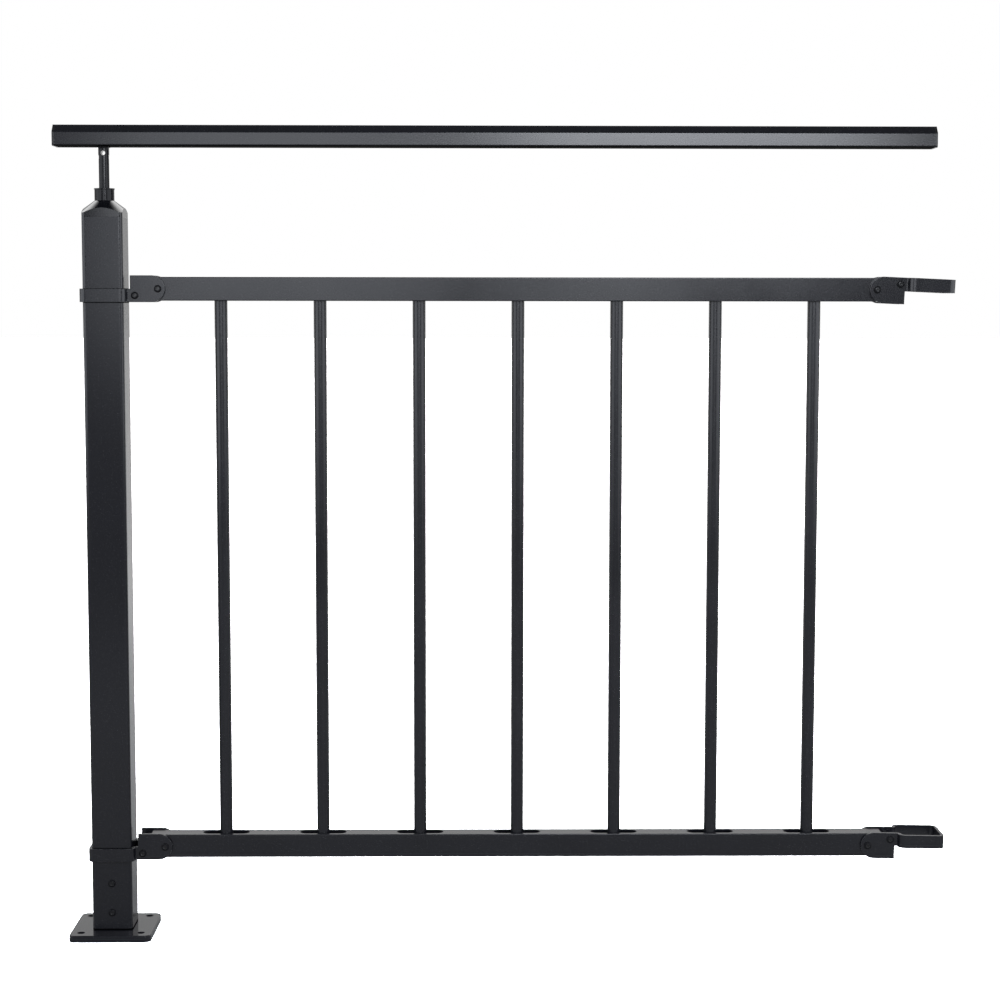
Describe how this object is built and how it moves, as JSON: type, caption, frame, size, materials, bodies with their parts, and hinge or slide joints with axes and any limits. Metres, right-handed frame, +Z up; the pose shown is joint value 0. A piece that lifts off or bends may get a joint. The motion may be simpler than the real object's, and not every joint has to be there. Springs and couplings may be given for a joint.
{
  "type": "stair railing",
  "caption": "Black steel stair railing: base-plate post, handrail on a tilting stem, and a racking panel of pinned round balusters between slotted rails on strap clamps.",
  "frame": {"origin": "centre of the base plate's underside, on the post's axis", "axes": "+X along the panel away from the post, +Y from the front to the back, +Z up the post"},
  "size_m": [1.0401, 0.096, 0.9495],
  "materials": {
    "black_powder_coat": "satin black powder coat",
    "black_gloss_enamel": "glossy black enamel on turned steel",
    "blackened_steel": "blackened steel fasteners",
    "black_moulding": "moulded black plastic end caps"
  },
  "bodies": {
    "post": {"base_plate": "black_powder_coat", "base_spigot": "black_powder_coat", "post_tube": "black_powder_coat", "base_screws": "blackened_steel", "post_cap": "black_gloss_enamel", "collar": "black_gloss_enamel", "handrail_stem": "black_gloss_enamel", "upper_near_clamp": "black_powder_coat", "upper_near_pivot_bolt": "blackened_steel", "upper_near_clamp_screw": "blackened_steel", "lower_near_clamp": "black_powder_coat", "lower_near_pivot_bolt": "blackened_steel", "lower_near_clamp_screw": "blackened_steel"},
    "handrail": {"handrail": "black_powder_coat", "handrail_near_cap": "black_moulding", "handrail_far_cap": "black_moulding", "handrail_saddle": "black_gloss_enamel", "handrail_tilt_pin": "blackened_steel"},
    "top_rail": {"top_rail": "black_powder_coat", "top_rail_pins": "blackened_steel"},
    "bottom_rail": {"bottom_rail": "black_powder_coat", "bottom_rail_pins": "blackened_steel"},
    "baluster_1": {"baluster_1": "black_powder_coat"},
    "baluster_2": {"baluster_2": "black_powder_coat"},
    "baluster_3": {"baluster_3": "black_powder_coat"},
    "baluster_4": {"baluster_4": "black_powder_coat"},
    "baluster_5": {"baluster_5": "black_powder_coat"},
    "baluster_6": {"baluster_6": "black_powder_coat"},
    "baluster_7": {"baluster_7": "black_powder_coat"},
    "upper_far_clamp": {"upper_far_clamp": "black_powder_coat", "upper_far_pivot_bolt": "blackened_steel", "upper_far_clamp_screw": "blackened_steel"},
    "lower_far_clamp": {"lower_far_clamp": "black_powder_coat", "lower_far_pivot_bolt": "blackened_steel", "lower_far_clamp_screw": "blackened_steel"}
  },
  "joints": [
    {"name": "top_rail_tilt", "type": "hinge", "parent": "post", "child": "top_rail", "pos_m": [0.0623, 0, 0.762], "axis": [0, -1, 0], "range_deg": [-42, 42]},
    {"name": "bottom_rail_tilt", "type": "hinge", "parent": "post", "child": "bottom_rail", "pos_m": [0.0623, 0, 0.106], "axis": [0, -1, 0], "range_deg": [-42, 42]},
    {"name": "handrail_tilt", "type": "hinge", "parent": "post", "child": "handrail", "pos_m": [0, 0, 0.91749], "axis": [0, -1, 0], "range_deg": [-42, 42]},
    {"name": "baluster_1_tilt", "type": "hinge", "parent": "top_rail", "child": "baluster_1", "pos_m": [0.133, 0, 0.762], "axis": [0, -1, 0], "range_deg": [-42, 42]},
    {"name": "baluster_2_tilt", "type": "hinge", "parent": "top_rail", "child": "baluster_2", "pos_m": [0.248, 0, 0.762], "axis": [0, -1, 0], "range_deg": [-42, 42]},
    {"name": "baluster_3_tilt", "type": "hinge", "parent": "top_rail", "child": "baluster_3", "pos_m": [0.363, 0, 0.762], "axis": [0, -1, 0], "range_deg": [-42, 42]},
    {"name": "baluster_4_tilt", "type": "hinge", "parent": "top_rail", "child": "baluster_4", "pos_m": [0.478, 0, 0.762], "axis": [0, -1, 0], "range_deg": [-42, 42]},
    {"name": "baluster_5_tilt", "type": "hinge", "parent": "top_rail", "child": "baluster_5", "pos_m": [0.593, 0, 0.762], "axis": [0, -1, 0], "range_deg": [-42, 42]},
    {"name": "baluster_6_tilt", "type": "hinge", "parent": "top_rail", "child": "baluster_6", "pos_m": [0.708, 0, 0.762], "axis": [0, -1, 0], "range_deg": [-42, 42]},
    {"name": "baluster_7_tilt", "type": "hinge", "parent": "top_rail", "child": "baluster_7", "pos_m": [0.823, 0, 0.762], "axis": [0, -1, 0], "range_deg": [-42, 42]},
    {"name": "upper_far_clamp_swing", "type": "hinge", "parent": "top_rail", "child": "upper_far_clamp", "pos_m": [0.8937, 0, 0.762], "axis": [0, -1, 0], "range_deg": [-42, 42]},
    {"name": "lower_far_clamp_swing", "type": "hinge", "parent": "bottom_rail", "child": "lower_far_clamp", "pos_m": [0.8937, 0, 0.106], "axis": [0, -1, 0], "range_deg": [-42, 42]}
  ],
  "couplings": [
    {"joint": "bottom_rail_tilt", "follows": "top_rail_tilt", "ratio": 1},
    {"joint": "handrail_tilt", "follows": "top_rail_tilt", "ratio": 1},
    {"joint": "baluster_1_tilt", "follows": "top_rail_tilt", "ratio": -1},
    {"joint": "baluster_2_tilt", "follows": "top_rail_tilt", "ratio": -1},
    {"joint": "baluster_3_tilt", "follows": "top_rail_tilt", "ratio": -1},
    {"joint": "baluster_4_tilt", "follows": "top_rail_tilt", "ratio": -1},
    {"joint": "baluster_5_tilt", "follows": "top_rail_tilt", "ratio": -1},
    {"joint": "baluster_6_tilt", "follows": "top_rail_tilt", "ratio": -1},
    {"joint": "baluster_7_tilt", "follows": "top_rail_tilt", "ratio": -1}
  ]
}
